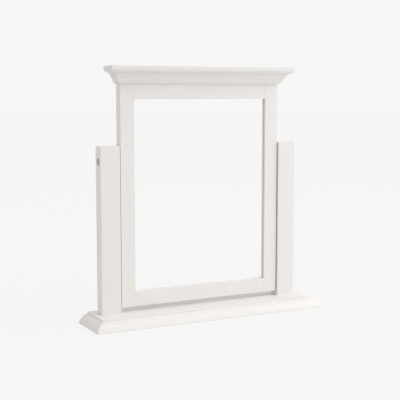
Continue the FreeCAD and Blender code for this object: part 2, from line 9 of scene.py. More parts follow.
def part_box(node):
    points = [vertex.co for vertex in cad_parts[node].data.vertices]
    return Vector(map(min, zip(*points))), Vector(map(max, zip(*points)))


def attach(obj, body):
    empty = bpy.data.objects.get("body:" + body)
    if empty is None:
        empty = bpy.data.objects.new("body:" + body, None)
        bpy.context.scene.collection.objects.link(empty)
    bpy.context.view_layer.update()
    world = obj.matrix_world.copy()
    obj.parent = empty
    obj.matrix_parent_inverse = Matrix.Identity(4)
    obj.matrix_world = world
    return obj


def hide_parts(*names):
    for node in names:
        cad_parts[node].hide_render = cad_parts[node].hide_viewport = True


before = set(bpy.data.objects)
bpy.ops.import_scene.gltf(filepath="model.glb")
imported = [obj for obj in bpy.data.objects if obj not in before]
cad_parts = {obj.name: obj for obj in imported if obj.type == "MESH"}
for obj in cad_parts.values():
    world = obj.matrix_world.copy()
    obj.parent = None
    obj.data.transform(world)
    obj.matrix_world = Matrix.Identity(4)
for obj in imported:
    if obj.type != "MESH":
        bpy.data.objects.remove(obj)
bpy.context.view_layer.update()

bl_info = {
    "name": "Dressing table swing mirror",
    "version": (1, 0, 0),
    "blender": (4, 5, 0),
    "location": "View3D > Sidebar > Swing Mirror",
    "description": "Builds a painted swing mirror and its studio round the measured frame",
    "category": "Add Mesh",
}

# Metres, +Z up, the front towards -Y, as the frame has them.

SIDES = {"left": -1, "right": 1}
STAND = "stand"
TILTING = "mirror"

X_AXIS = Vector((1, 0, 0))
Y_AXIS = Vector((0, 1, 0))
Z_AXIS = Vector((0, 0, 1))

# Angles over which an edge stays crisp on flat, turned and fluted pieces.
SQUARE = math.radians(40)
TURNED = math.radians(32)
FLUTED = math.radians(45)
# Angle over which an edge is rounded.
SHARP = math.radians(15)
# Cosine over which a face faces a way.
FACING = 0.999
# As good as nothing: between points that meet, off a line or a plane, and off a direction.
MEETING = 1e-6
IN_LINE = 1e-7
ASKEW = 1e-5


def number(name, default, description, **more):
    return FloatProperty(name=name, default=default, description=description, **more)


def length(*given):
    return number(*given, min=0, unit="LENGTH", subtype="DISTANCE", precision=5)


def share(*given):
    return number(*given, min=0, max=1, subtype="FACTOR")


def degrees(name, default, description):
    return number(name, math.radians(default), description, subtype="ANGLE")


def vector(name, default, description, **more):
    return FloatVectorProperty(name=name, default=default, description=description, **more)


def spot(*given):
    return vector(*given, subtype="TRANSLATION")


def colour(name, default, description):
    return vector(name, (*default, 1), description, size=4, subtype="COLOR", min=0, max=1)


# -------- what a user may change


class SwingMirrorWoodwork(bpy.types.PropertyGroup):
    """Mouldings and edges of the painted wood."""

    base_land: length("Base land", 0.001, "Upright strip under the base's ovolo")
    base_ovolo: length("Base ovolo", 0.022, "The base's ovolo, in from the edge and up")
    base_round: length("Base round", 0.036, "Radius of the base's ovolo")
    base_shelf: length("Base shelf", 0.002, "Flat strip between the ovolo and the step above it")
    cap_band: length("Cap band", 0.0054, "Upright band above the cap's ovolo")
    cove_reach: length("Cove reach", 0.0214, "Moulding at its top, beyond the frame")
    cove_foot: length("Cove foot", 0.0085, "Moulding at the foot of its hollow")
    cove_radius: length("Cove radius", 0.056, "Radius of the hollow")
    strip_reach: length("Strip reach", 0.0071, "Lowest strip of the moulding, beyond the frame")
    strip_height: length("Strip height", 0.004, "Lowest strip of the moulding")
    post_arris: length("Post arris", 0.0010, "Rounding of the posts' edges")
    soft_edge: length("Soft edge", 0.0004, "Rounding that paint leaves on a crisp edge")
    bead_bevel: length("Bead bevel", 0.003, "Bevel on the inner edge of the back beads")
    round_steps: IntProperty(name="Round steps", description="Facets in a quarter round",
                             default=14, min=4, max=64)


class SwingMirrorPivots(bpy.types.PropertyGroup):
    """Pivot bolts and the holes that they stand in."""

    counterbore: length("Counterbore", 0.020, "Diameter of the hole for a bolt's head")
    counterbore_depth: length("Counterbore depth", 0.022, "Depth of the hole for a bolt's head")
    bolt: length("Bolt", 0.006, "Diameter of a bolt's shank")
    head: length("Head", 0.014, "Diameter of a bolt's head")
    head_height: length("Head height", 0.0035, "Height of a bolt's head")
    socket: length("Socket", 0.004, "Hexagon socket across its flats")
    socket_depth: length("Socket depth", 0.0022, "Depth of the hexagon socket")
    play: length("Play", 0.00005, "Room round a shank")
    rim: length("Rim", 0.0005, "Rounding of the counterbore's rim")
    facets: IntProperty(name="Facets", description="Facets round a turned piece", default=48,
                        min=12, max=128)


class SwingMirrorFinishes(bpy.types.PropertyGroup):
    """Colours of the finishes."""

    paint: colour("Paint", (0.872, 0.842, 0.817), "Satin off-white paint")
    paint_shade: colour("Paint shade", (0.800, 0.768, 0.735), "Paint where it lies thinner")
    primer: colour("Primer", (0.66, 0.60, 0.53), "Primer that shows on rubbed edges")
    # A dark dust colour that also stands for painted shade: the satin paint turns to it in tight
    # corners and joints.
    dust: colour("Dust", (0.50, 0.45, 0.39), "Dust that settles in the joints")
    fibreboard: colour("Fibreboard", (0.33, 0.20, 0.105), "Bare fibreboard")
    fibreboard_dark: colour("Dark fibre", (0.17, 0.095, 0.045), "Dark fibres of the board")
    beech: colour("Beech", (0.60, 0.41, 0.245), "Bare beech")
    beech_dark: colour("Beech grain", (0.42, 0.25, 0.13), "Grain of the beech")
    steel: colour("Zinc plated steel", (0.62, 0.63, 0.64), "Zinc plated steel")
    brass: colour("Brass", (0.66, 0.46, 0.17), "Machined brass")
    nylon: colour("Nylon", (0.80, 0.79, 0.74), "Moulded nylon")
    silver: colour("Silvering", (1.0, 1.0, 1.0), "Silver behind the glass")
    backing: colour("Backing", (0.30, 0.34, 0.36), "Paint over the silver")
    paint_roughness: share("Paint roughness", 0.42, "Roughness of the satin paint")


class SwingMirrorStudio(bpy.types.PropertyGroup):
    """Background, light and camera."""

    background: share("Background", 0.9270, "Level of the plain background")
    floor_level: share("Floor level", 0.80, "Share of the light that the floor gives back")
    floor_grain: share("Floor grain", 0.01, "How much that share varies")
    floor_shade: share("Floor shade", 0.05, "How much of the floor's level is its shading")
    sky: number("Sky", 0.695, "Light that comes from all round", min=0)
    key: number("Key", 0.54, "Strength of the soft key light", min=0)
    key_direction: vector("Key direction", (0.50, -0.50, 0.70), "Where the key light is",
                          subtype="DIRECTION")
    key_softness: degrees("Key softness", 60, "Angle that the key light fills")
    side_lamp: number("Side lamp", 59.0, "Power of the tall lamp at the right", min=0,
                      unit="POWER", subtype="POWER")
    side_lamp_place: spot("Side lamp place", (3.0, -0.8, 1.55), "Middle of the tall lamp")
    side_lamp_width: length("Side lamp width", 1.2, "Width of the tall lamp")
    side_lamp_height: length("Side lamp height", 3.0, "Height of the tall lamp")
    camera_place: spot("Camera place", (-1.1137, -2.1128, 0.5756), "Where the camera stands")
    camera_turn: degrees("Camera turn", 27.506, "Turn to the right from straight ahead")
    camera_dip: degrees("Camera dip", 6.509, "How far the camera looks down")
    lens: number("Lens", 83.46, "Focal length on a 36 mm sensor", unit="CAMERA")


SETTINGS = {
    "swing_mirror_woodwork": SwingMirrorWoodwork,
    "swing_mirror_pivots": SwingMirrorPivots,
    "swing_mirror_finishes": SwingMirrorFinishes,
    "swing_mirror_studio": SwingMirrorStudio,
}


# -------- node trees


# The mix node's sockets for colours: the amount, both colours and the mixture.
MIX_SOCKETS = (0, 6, 7)
MIXTURE = 2


class Tree:
    """A node tree that adds a node with its settings, sockets and links in one call."""

    def __init__(self, tree):
        self.nodes = tree.nodes
        self.links = tree.links
        self.nodes.clear()

    def feed(self, socket, given):
        """Link another node's output to a socket, or set the socket's own value."""
        if isinstance(given, bpy.types.NodeSocket):
            self.links.new(given, socket)
        else:
            socket.default_value = given

    def add(self, kind, settings=None, **sockets):
        made = self.nodes.new(kind)
        for name, setting in (settings or {}).items():
            setattr(made, name, setting)
        for name, given in sockets.items():
            self.feed(made.inputs[name.replace("_", " ")], given)
        return made

    def noise(self, scale, stretch=(1, 1, 1), turn=(0, 0, 0), detail=4, roughness=0.5,
              distortion=0.0):
        """Noise in the surface's own coordinates, stretched and turned."""
        own = self.add("ShaderNodeTexCoord").outputs["Object"]
        where = self.add("ShaderNodeMapping", Vector=own, Scale=stretch, Rotation=turn)
        return self.add("ShaderNodeTexNoise", Vector=where.outputs[0], Scale=scale, Detail=detail,
                        Roughness=roughness, Distortion=distortion).outputs[0]

    def spread(self, given, part, over=(0.0, 1.0)):
        """Spread a part of a value's range over a new range."""
        made = self.add("ShaderNodeMapRange", Value=given)
        for name, bound in zip(("From Min", "From Max", "To Min", "To Max"), (*part, *over)):
            made.inputs[name].default_value = bound
        return made.outputs[0]

    def blend(self, amount, first, second):
        """Mix two colours; each may be a colour or another node's output."""
        made = self.add("ShaderNodeMix", {"data_type": "RGBA", "blend_type": "MIX"})
        for index, given in zip(MIX_SOCKETS, (amount, first, second)):
            self.feed(made.inputs[index], given)
        return made.outputs[MIXTURE]

    def calculate(self, operation, first, second):
        made = self.add("ShaderNodeMath", {"operation": operation})
        self.feed(made.inputs[0], first)
        self.feed(made.inputs[1], second)
        return made.outputs[0]

    def product(self, first, second):
        return self.calculate("MULTIPLY", first, second)

    def occlusion(self, distance, **settings):
        """How open the surface is, from nothing in a tight corner to one in the open."""
        return self.add("ShaderNodeAmbientOcclusion", {"samples": 8, **settings},
                        Distance=distance).outputs["AO"]

    def bump(self, height, distance, strength=0.5, under=None):
        """Raise the surface by height times distance, on top of the relief under it."""
        made = self.add("ShaderNodeBump", Height=height, Distance=distance, Strength=strength)
        if under is not None:
            self.links.new(under, made.inputs["Normal"])
        return made.outputs[0]

    def surface(self, **sockets):
        shader = self.add("ShaderNodeBsdfPrincipled", **sockets)
        self.add("ShaderNodeOutputMaterial", Surface=shader.outputs[0])

    def join(self, kind, first, second, **sockets):
        """Mix or add the shaders of two nodes."""
        made = self.add(kind, **sockets)
        for socket, given in zip(list(made.inputs)[-2:], (first, second)):
            self.links.new(given.outputs[0], socket)
        return made

    def direct_view(self):
        """One where the camera, a reflection or glass looks at the surface, else nothing."""
        path = self.add("ShaderNodeLightPath")
        seen = path.outputs["Is Camera Ray"]
        for other in ("Is Glossy Ray", "Is Transmission Ray"):
            seen = self.calculate("MAXIMUM", seen, path.outputs[other])
        return seen


def finish(fill):
    """Make a function that fills a tree return its material, which it makes only once."""

    def find(*given):
        name = "_".join((fill.__name__, *given))
        made = bpy.data.materials.get(name)
        if made is None:
            made = bpy.data.materials.new(name)
            made.use_nodes = True
            fill(Tree(made.node_tree), bpy.context.scene.swing_mirror_finishes, *given)
        return made

    return find


def darker(body, kept):
    """A colour at a share of its level."""
    return (*[channel * kept for channel in body[:3]], 1)


def grey(level):
    return (level, level, level, 1)


def along(axis, lengthwise, across):
    """Scale of a pattern that is stretched along one axis."""
    return tuple(lengthwise if index == "xyz".index(axis) else across for index in range(3))


# -------- finishes


GLASS_IOR = 1.52


@finish
def satin_paint(tree, colours, grain):
    """Satin paint over wood whose grain runs along x, y or z."""
    fibres = tree.noise(4.0, along(grain, 2.2, 60), detail=6, roughness=0.62, distortion=0.25)
    clouds = tree.noise(7.0, roughness=0.55)
    peel = tree.noise(620.0, detail=3)
    patches = tree.noise(150.0, detail=5, roughness=0.7)
    thin = tree.product(tree.spread(fibres, (0.42, 0.72)), 0.10)
    body = tree.blend(thin, colours.paint, colours.paint_shade)
    body = tree.blend(tree.spread(clouds, (0.35, 0.70), (0.0, 0.20)), body, colours.paint_shade)
    # Dust and painted shade: where the surface is hemmed in within 1.2 mm, in joints, creases and
    # corners, the paint is darkened towards the dust colour.
    joints = tree.occlusion(0.0012)
    body = tree.blend(tree.spread(joints, (0.30, 0.70), (1.0, 0.0)), body, colours.dust)
    edges = tree.occlusion(0.0014, inside=True, only_local=True)
    rubbed = tree.product(tree.spread(edges, (0.55, 0.20)), tree.spread(patches, (0.55, 0.70)))
    body = tree.blend(tree.product(rubbed, 0.18), body, colours.primer)
    relief = tree.bump(fibres, 0.00004, strength=0.45)
    satin = colours.paint_roughness
    tree.surface(Base_Color=body, Normal=tree.bump(peel, 0.00003, under=relief),
                 Roughness=tree.spread(clouds, (0.3, 0.7), (satin - 0.05, satin + 0.07)))


@finish
def bare_fibreboard(tree, colours):
    """Pressed fibreboard: short fibres that lie any way, and a few dark specks."""
    mat = tree.noise(420.0, detail=8, roughness=0.72, distortion=1.6)
    clouds = tree.noise(9.0, roughness=0.6)
    long_fibres, cross_fibres = (
        tree.noise(1.0, (900, 900, 90), (0, turn, 0), roughness=0.6, distortion=0.8)
        for turn in (0.7, -0.9))
    body = tree.blend(tree.spread(mat, (0.35, 0.68)), colours.fibreboard_dark,
                      colours.fibreboard)
    for pattern, part, most, shade in (
            (clouds, (0.3, 0.7), 0.22, colours.fibreboard_dark),
            (long_fibres, (0.62, 0.72), 0.5, colours.beech),
            (cross_fibres, (0.63, 0.74), 0.5, colours.fibreboard_dark)):
        body = tree.blend(tree.spread(pattern, part, (0.0, most)), body, shade)
    relief = tree.bump(mat, 0.00012, strength=0.6)
    tree.surface(Base_Color=body, Normal=tree.bump(long_fibres, 0.00010, under=relief),
                 Roughness=tree.spread(mat, (0.3, 0.7), (0.62, 0.85)))


@finish
def bare_beech(tree, colours, grain):
    """Bare beech with its fine grain and the short dark flecks of its rays."""
    rings = tree.noise(2.0, along(grain, 1.2, 90), detail=5, roughness=0.6, distortion=0.4)
    flecks = tree.noise(1.0, along(grain, 220, 1500), detail=2)
    clouds = tree.noise(12.0, detail=3)
    body = tree.blend(tree.spread(rings, (0.35, 0.70)), colours.beech, colours.beech_dark)
    body = tree.blend(tree.spread(clouds, (0.3, 0.75), (0.35, 0.0)), body, colours.beech)
    body = tree.blend(tree.spread(flecks, (0.60, 0.68), (0.0, 0.55)), body, colours.beech_dark)
    relief = tree.bump(rings, 0.00008)
    tree.surface(Base_Color=body, Normal=tree.bump(flecks, 0.00005, under=relief),
                 Roughness=tree.spread(rings, (0.3, 0.7), (0.50, 0.66)))


def metal(tree, body, scratch):
    """A plated or machined metal; scratch stretches its fine marks along an axis."""
    marks = tree.noise(1.0, scratch, detail=5, roughness=0.65)
    cloud = tree.noise(260.0, roughness=0.6)
    dull = tree.blend(tree.spread(cloud, (0.35, 0.72), (0.0, 0.45)), body, darker(body, 0.72))
    tree.surface(Base_Color=dull, Metallic=1.0, Normal=tree.bump(marks, 0.00003),
                 Roughness=tree.spread(marks, (0.3, 0.7), (0.24, 0.46)))


@finish
def zinc_plate(tree, colours):
    metal(tree, colours.steel, (900, 2600, 2600))


@finish
def machined_brass(tree, colours):
    metal(tree, colours.brass, (5200, 700, 700))


@finish
def moulded_nylon(tree, colours):
    cloud = tree.noise(180.0, detail=3)
    body = tree.blend(tree.spread(cloud, (0.3, 0.7), (0.0, 0.3)), colours.nylon,
                      darker(colours.nylon, 0.88))
    tree.surface(Base_Color=body, Normal=tree.bump(tree.noise(1400.0, detail=3), 0.00002),
                 Roughness=tree.spread(cloud, (0.3, 0.7), (0.38, 0.52)),
                 Subsurface_Weight=0.15, Subsurface_Scale=0.001)


@finish
def clear_glass(tree, _):
    wipes = tree.noise(2.0, (3, 3, 9), detail=3)
    tree.surface(Base_Color=grey(1), IOR=GLASS_IOR, Transmission_Weight=1.0,
                 Roughness=tree.spread(wipes, (0.55, 0.75), (0.0, 0.006)))


@finish
def silvering(tree, colours):
    """Silver as it looks through the front of its glass."""
    clouds = tree.noise(5.0, detail=2)
    tree.surface(Base_Color=colours.silver, Metallic=1.0,
                 Roughness=tree.spread(clouds, (0.3, 0.7), (0.0, 0.004)),
                 Coat_Weight=1.0, Coat_IOR=GLASS_IOR, Coat_Roughness=0.0)


@finish
def backing_paint(tree, colours):
    mist = tree.noise(900.0, roughness=0.6)
    clouds = tree.noise(14.0, detail=3)
    body = tree.blend(tree.spread(clouds, (0.3, 0.7), (0.0, 0.5)), colours.backing,
                      darker(colours.backing, 0.85))
    tree.surface(Base_Color=body, Roughness=tree.spread(mist, (0.3, 0.7), (0.5, 0.62)),
                 Normal=tree.bump(mist, 0.00002, strength=0.4))


@finish
def studio_floor(tree, _):
    """A pale floor whose own level is plain to the eye, and which keeps a faint shadow."""
    look = bpy.context.scene.swing_mirror_studio
    matt = tree.add("ShaderNodeBsdfDiffuse", Color=tree.blend(
        tree.noise(3.0, detail=2), grey(look.floor_level),
        grey(look.floor_level + look.floor_grain)))
    faint = tree.add("ShaderNodeBsdfDiffuse", Color=grey(look.floor_shade))
    glow = tree.add("ShaderNodeEmission", Color=grey(1),
                    Strength=look.background - look.floor_shade * floor_light(look))
    plain = tree.join("ShaderNodeAddShader", faint, glow)
    mixed = tree.join("ShaderNodeMixShader", matt, plain, Fac=tree.direct_view())
    tree.add("ShaderNodeOutputMaterial", Surface=mixed.outputs[0])


def floor_light(look):
    """Light on the middle of the floor, as the level of a sky that would give as much."""
    lamp = Vector(look.side_lamp_place)
    return (look.sky + look.key * Vector(look.key_direction).normalized().z / math.pi
            + look.side_lamp * lamp.xy.length * lamp.z / (math.pi ** 2 * lamp.length ** 4))


# -------- shaping


def block(low, high):
    """A new mesh of one square block between two corners."""
    made = bmesh.new()
    bmesh.ops.create_cube(made, size=1)
    bmesh.ops.scale(made, vec=high - low, verts=made.verts)
    bmesh.ops.translate(made, vec=(low + high) / 2, verts=made.verts)
    return made


def only(kind, items):
    return [item for item in items if isinstance(item, kind)]


def is_mitre(edge):
    """Whether an edge runs askew to the wood's faces, as the line of a mitre does."""
    way = edge.verts[1].co - edge.verts[0].co
    return min(abs(way.x), abs(way.y)) > ASKEW


def soften(shape, width, edges=None, steps=3):
    """Round sharp edges and mitres, or the edges that are given."""
    bmesh.ops.recalc_face_normals(shape, faces=shape.faces)
    if edges is None:
        edges = [edge for edge in shape.edges if edge.is_manifold
                 and (is_mitre(edge) or edge.calc_face_angle(0) > SHARP)]
    bmesh.ops.bevel(shape, geom=edges, offset=width, offset_type="OFFSET", segments=steps,
                    profile=0.5, affect="EDGES", clamp_overlap=True, material=-1)


def draw_out(shape, face, move):
    """Extrude a face, put each new corner where move says, and return the far face."""
    made = bmesh.ops.extrude_face_region(shape, geom=[face, *face.edges, *face.verts])["geom"]
    for corner in only(bmesh.types.BMVert, made):
        corner.co = move(corner.co)
    return only(bmesh.types.BMFace, made)[0]


def first_face(shape, points):
    return shape.faces.new([shape.verts.new(point) for point in points])


def drawn_through(outlines):
    """A solid drawn through outlines, each corner to the nearest one of the next outline."""
    shape = bmesh.new()
    face = first_face(shape, outlines[0])
    for outline in outlines[1:]:

        def nearest(point):
            return min(outline, key=lambda corner: (corner - point).length)

        face = draw_out(shape, face, nearest)
    return shape


def arc(start, end, radius, steps):
    """Points of an arc between two points of a section.

    The arc's middle is to the left of the way from start to end, or to the right where the
    radius is negative.
    """
    start, end = Vector(start), Vector(end)
    half = (end - start) / 2
    rise = math.sqrt(max(radius ** 2 - half.length_squared, 0))
    centre = start + half + Vector((-half.y, half.x)).normalized() * math.copysign(rise, radius)
    first = start - centre
    turn = 2 * math.asin(half.length / abs(radius)) * math.copysign(1, radius)
    points = []
    for step in range(steps + 1):
        angle = turn * step / steps
        points.append((centre.x + first.x * math.cos(angle) - first.y * math.sin(angle),
                       centre.y + first.x * math.sin(angle) + first.y * math.cos(angle)))
    return points


def moulded_board(low, high, profile):
    """Raise the plan of a board through its moulding, which runs round the front and both ends.

    Each step of the profile is the board's inset there and its height.
    """
    return drawn_through([
        [Vector((low.x + inset, low.y + inset, height)),
         Vector((high.x - inset, low.y + inset, height)),
         Vector((high.x - inset, high.y, height)),
         Vector((low.x + inset, high.y, height))] for inset, height in profile])


def window(shape, face, centre, half, sides):
    """Cut a square window round a point of a flat face, with its outline cut into sides parts."""
    normal = face.normal.copy()
    one_way = X_AXIS if abs(normal.x) < 0.5 else Y_AXIS
    for outward in (one_way, -one_way, normal.cross(one_way), -normal.cross(one_way)):
        line = centre + outward * half
        cut = bmesh.ops.bisect_plane(shape, geom=[face, *face.edges, *face.verts],
                                     dist=IN_LINE, plane_co=line, plane_no=outward)
        face = next(item for item in only(bmesh.types.BMFace, cut["geom"])
                    if (item.calc_center_median() - line).dot(outward) < 0)
    outline = list(face.edges)
    bmesh.ops.delete(shape, geom=[face], context="FACES_ONLY")
    parts = bmesh.ops.subdivide_edges(shape, edges=outline, cuts=sides // 4 - 1)["geom_split"]
    return only(bmesh.types.BMEdge, parts)


def ring_matrix(centre, axis):
    """Place for a ring that is drawn round +Z: its middle, and where its +Z points."""
    return Matrix.Translation(centre) @ axis.to_track_quat("Z", "Y").to_matrix().to_4x4()


def on_ring(place, flat, radius, distance):
    """Where a corner lies on a ring, in the direction of flat; radius may depend on the angle."""
    angle = math.atan2(flat.y, flat.x)
    reach = radius(angle) if callable(radius) else radius
    return place @ Vector((reach * math.cos(angle), reach * math.sin(angle), distance))


def carry_ring(shape, edges, place, steps):
    """Carry a ring of edges through steps, each a radius and a distance along the ring's axis."""
    inverse = place.inverted()
    for radius, distance in steps:
        made = bmesh.ops.extrude_edge_only(shape, edges=edges)["geom"]
        for corner in only(bmesh.types.BMVert, made):
            corner.co = on_ring(place, inverse @ corner.co, radius, distance)
        edges = [edge for edge in only(bmesh.types.BMEdge, made)
                 if all(abs((inverse @ vertex.co).z - distance) < IN_LINE for vertex in edge.verts)
                 and len(edge.link_faces) == 1]
    return edges


def new_ring(shape, place, step, facets):
    """A ring of edges round an axis."""
    corners = bmesh.ops.create_circle(shape, cap_ends=False, segments=facets, radius=1)["verts"]
    for corner in corners:
        corner.co = on_ring(place, corner.co, *step)
    return list(dict.fromkeys(edge for corner in corners for edge in corner.link_edges))


def lathe(shape, centre, axis, steps, facets, hollow=False):
    """Turn a solid round an axis.

    Its steps run from one end's face to the other's, or once round the section of a hollow one.
    """
    place = ring_matrix(centre, axis)
    first = new_ring(shape, place, steps[0], facets)
    last = carry_ring(shape, first, place, steps[1:])
    if hollow:
        bmesh.ops.bridge_loops(shape, edges=first + last)
    else:
        for ring in (first, last):
            bmesh.ops.contextual_create(shape, geom=ring)


HOLE_MARGIN = 0.003


def drill(shape, face, centre, axis, steps, facets):
    """Drill a turned hole into a flat face, and return the rim where the hole ends.

    axis points into the wood, and the first step is the hole's mouth.
    """
    place = ring_matrix(centre, axis)
    outline = window(shape, face, centre, steps[0][0] + HOLE_MARGIN, facets)
    mouth = new_ring(shape, place, steps[0], facets)
    bmesh.ops.bridge_loops(shape, edges=outline + mouth)
    return carry_ring(shape, mouth, place, steps[1:])


def face_at(shape, normal, point):
    """The flat face that faces a way and holds a point."""
    across = [axis for axis in range(3) if abs(normal[axis]) < 0.5]
    for face in shape.faces:
        spans = [[corner.co[axis] for corner in face.verts] for axis in across]
        if face.normal.dot(normal) > FACING and all(
                min(span) < point[axis] < max(span) for axis, span in zip(across, spans)):
            return face
    raise RuntimeError(f"no face towards {normal} holds {point}")


def hexagon(flats):
    """Radius of a hexagon at an angle, from its width across the flats."""
    return lambda angle: flats / 2 / math.cos((angle + math.pi / 6) % (math.pi / 3) - math.pi / 6)


def cross(arm, half_width):
    """Radius of a cross-shaped recess at an angle."""

    def reach(angle):
        inside = abs((angle + math.pi / 4) % (math.pi / 2) - math.pi / 4)
        side = half_width / max(math.sin(inside), MEETING)
        return min(arm / math.cos(inside), max(side, half_width * math.sqrt(2)))

    return reach


def fluted(radius, depth, flutes):
    """Radius of a rod with narrow flutes at an angle."""
    return lambda angle: radius - depth * (0.5 - 0.5 * math.cos(flutes * angle)) ** 3


def grooves(start, end, pitch, section):
    """Steps of a thread: the same section at each turn, in radii and shares of the pitch."""
    steps = []
    while start + pitch < end:
        steps += [(radius, start + part * pitch) for radius, part in section]
        start += pitch
    return steps


# -------- pieces


def into_scene(name, content, place=(0, 0, 0), turn=(0, 0, 0)):
    """Put a mesh, a light or a camera into the scene as an object."""
    made = bpy.data.objects.new(name, content)
    made.location = place
    made.rotation_euler = turn
    bpy.context.scene.collection.objects.link(made)
    return made


def mesh_of(name, shape, material):
    mesh = bpy.data.meshes.new(name)
    shape.to_mesh(mesh)
    shape.free()
    mesh.materials.append(material)
    return mesh


def add_piece(name, shape, material, body, slot, stands_for=(), smooth_over=None):
    """Make a finished shape a piece of the mirror.

    Edges sharper than smooth_over stay crisp. With none, edges left square stay crisp, rounded
    ones shade smooth and the large faces stay flat.
    """
    bmesh.ops.remove_doubles(shape, verts=shape.verts, dist=MEETING)
    bmesh.ops.recalc_face_normals(shape, faces=shape.faces)
    mesh = mesh_of(name, shape, material)
    mesh.shade_smooth()
    piece = into_scene(name, mesh)
    mesh.set_sharp_from_angle(angle=SQUARE if smooth_over is None else smooth_over)
    if smooth_over is None:
        piece.modifiers.new("flat_faces", "WEIGHTED_NORMAL").keep_sharp = True
    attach(piece, body)
    if stands_for:
        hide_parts(*stands_for)
    return piece


def add_turned(name, centres, axis, steps, facets, *given, hollow=False, smooth_over=TURNED):
    """Turn a piece at each of its centres and add it."""
    shape = bmesh.new()
    for centre in centres:
        lathe(shape, centre, axis, steps, facets, hollow)
    add_piece(name, shape, *given, smooth_over=smooth_over)


def dress(node, material):
    """Give a node of the frame its finish."""
    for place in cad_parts[node].material_slots:
        place.material = material


def on_pivot(side, node):
    """A pivot piece's outer end, the way in from there, its radius and its length."""
    low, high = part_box(f"{side}_{node}")
    middle = (low + high) / 2
    outer = low.x if SIDES[side] < 0 else high.x
    return (Vector((outer, middle.y, middle.z)), Vector((-SIDES[side], 0, 0)),
            (high.z - low.z) / 2, high.x - low.x)


class SWING_MIRROR_OT_base_board(bpy.types.Operator):
    """Base board with an ovolo and a small step round its front and ends"""

    bl_idname = "swing_mirror.base_board"
    bl_label = "Base board"

    def execute(self, context):
        wood = context.scene.swing_mirror_woodwork
        pivots = context.scene.swing_mirror_pivots
        low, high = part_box("base_board")
        ovolo = wood.base_ovolo
        foot = low.z + wood.base_land
        inner = ovolo + wood.base_shelf
        profile = [(0, low.z),
                   *arc((0, foot), (ovolo, foot + ovolo), -wood.base_round, wood.round_steps),
                   (inner, foot + ovolo), (inner, high.z)]
        shape = moulded_board(low, high, profile)
        soften(shape, wood.soft_edge)
        for place in screw_places():
            head = place.copy()
            head.z = low.z
            drill(shape, face_at(shape, -Z_AXIS, head), head, Z_AXIS,
                  screw_hole(high.z - low.z), pivots.facets)
        add_piece("plinth_board", shape, satin_paint("x"), STAND, "painted_wood", ["base_board"])
        return {"FINISHED"}


# The posts' screws: between two neighbours, across the head and the shank, how deep the head
# is sunk, the room round it, and how far through the base board the hole goes.
SCREW_SPACING = 0.030
SCREW_HEAD = 0.010
SCREW_SHANK = 0.005
SCREW_SINK = 0.0005
SCREW_PLAY = 0.00005
SCREW_HOLE = 0.9


def screw_places():
    """Axes of the screws under the posts, at the height of their heads."""
    low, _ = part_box("post_screws")
    places = []
    for side in SIDES:
        foot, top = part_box(f"{side}_post")
        middle = (foot + top) / 2
        for shift in (-SCREW_SPACING / 2, SCREW_SPACING / 2):
            places.append(Vector((middle.x + shift, middle.y, low.z)))
    return places


def screw_hole(depth):
    """Countersunk hole through the base board, from its mouth in."""
    mouth = SCREW_HEAD / 2 + SCREW_SINK + SCREW_PLAY
    shank = SCREW_SHANK / 2 + SCREW_PLAY
    return [(mouth, 0), (shank, mouth - shank), (shank, depth * SCREW_HOLE)]


ARRIS_STEPS = 5
RIM_STEPS = 3


def arrises(shape, low, high):
    """Upright edges of a post and those round its top, whole or in parts."""
    sides = [(0, low.x), (0, high.x), (1, low.y), (1, high.y), (2, high.z)]
    return [edge for edge in shape.edges
            if sum(all(abs(vertex.co[axis] - at) < IN_LINE for vertex in edge.verts)
                   for axis, at in sides) > 1]


class SWING_MIRROR_OT_posts(bpy.types.Operator):
    """Posts with rounded arrises and a counterbored pivot hole"""

    bl_idname = "swing_mirror.posts"
    bl_label = "Posts"

    def execute(self, context):
        wood = context.scene.swing_mirror_woodwork
        pivots = context.scene.swing_mirror_pivots
        for side, sign in SIDES.items():
            low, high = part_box(f"{side}_post")
            shape = block(low, high)
            head, inward, *_ = on_pivot(side, "pivot_bolt")
            outside = Vector((high.x if sign > 0 else low.x, head.y, head.z))
            inside = Vector((low.x if sign > 0 else high.x, head.y, head.z))
            wide = pivots.counterbore / 2
            narrow = pivots.bolt / 2 + pivots.play
            angles = [math.pi / 2 * step / RIM_STEPS for step in range(RIM_STEPS + 1)]
            mouth = [(wide + pivots.rim * (1 - math.sin(angle)),
                      pivots.rim * (1 - math.cos(angle))) for angle in angles]
            counterbore = drill(shape, face_at(shape, -inward, outside), outside, inward,
                                mouth + [(wide, pivots.counterbore_depth),
                                         (narrow, pivots.counterbore_depth)], pivots.facets)
            depth = (high.x - low.x) - pivots.counterbore_depth
            shank = drill(shape, face_at(shape, inward, inside), inside, -inward,
                          [(narrow, 0), (narrow, depth)], pivots.facets)
            bmesh.ops.bridge_loops(shape, edges=counterbore + shank)
            soften(shape, wood.post_arris, arrises(shape, low, high), ARRIS_STEPS)
            add_piece(f"post_{side}", shape, satin_paint("z"), STAND, "painted_wood",
                      [f"{side}_post"])
        return {"FINISHED"}


class SWING_MIRROR_OT_frame_members(bpy.types.Operator):
    """Stiles and rails of the mirror's frame"""

    bl_idname = "swing_mirror.frame_members"
    bl_label = "Stiles and rails"

    def execute(self, context):
        for node, grain in (("left_stile", "z"), ("right_stile", "z"), ("top_rail", "x"),
                            ("bottom_rail", "x")):
            dress(node, satin_paint(grain))
        return {"FINISHED"}


class SWING_MIRROR_OT_cap(bpy.types.Operator):
    """Cap board with an ovolo under its band"""

    bl_idname = "swing_mirror.cap"
    bl_label = "Cap board"

    def execute(self, context):
        wood = context.scene.swing_mirror_woodwork
        low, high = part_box("top_cap")
        ovolo = high.z - low.z - wood.cap_band
        profile = [*arc((ovolo, low.z), (0, low.z + ovolo), -ovolo, wood.round_steps), (0, high.z)]
        shape = moulded_board(low, high, profile)
        soften(shape, wood.soft_edge)
        add_piece("cap_board", shape, satin_paint("x"), TILTING, "painted_wood", ["top_cap"])
        return {"FINISHED"}


